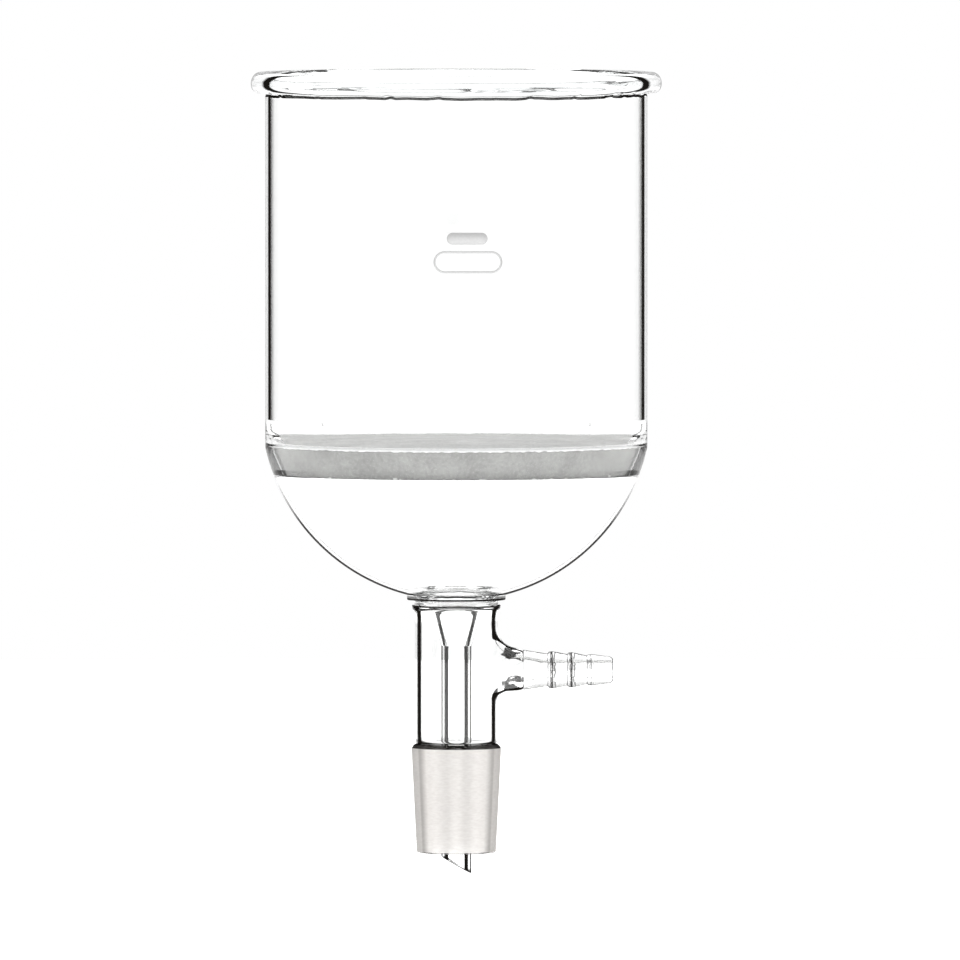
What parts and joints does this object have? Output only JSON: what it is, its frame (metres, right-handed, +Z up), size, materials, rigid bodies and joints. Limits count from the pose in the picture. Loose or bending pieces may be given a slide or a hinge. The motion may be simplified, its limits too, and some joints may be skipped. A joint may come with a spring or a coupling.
{
  "type": "buchner funnel",
  "caption": "Clear glass filter funnel with a sintered disc, a domed underside, a drip stem inside a vacuum sleeve with a hose connector, and a ground cone joint.",
  "frame": {"origin": "centre of the ground cone's large end, on the funnel's axis, where the cone seats in a socket", "axes": "+Z up the funnel's axis towards the rim, +X along the hose connector, +Y completes a right-handed frame"},
  "size_m": [0.086, 0.086, 0.1679],
  "materials": {
    "clear_glass": "clear, fire-polished",
    "sintered_glass": "matt, porous, sintered",
    "ground_glass": "ground, matt, translucent"
  },
  "bodies": {
    "root": {"rim_bead": "clear_glass", "bowl_tube": "clear_glass", "fritted_disc": "sintered_glass", "disc_seal": "clear_glass", "filtrate_dome": "clear_glass", "neck_ring_seal": "clear_glass", "drip_stem": "clear_glass", "vacuum_sleeve": "clear_glass", "hose_connector": "clear_glass", "ground_cone": "ground_glass"}
  },
  "joints": []
}
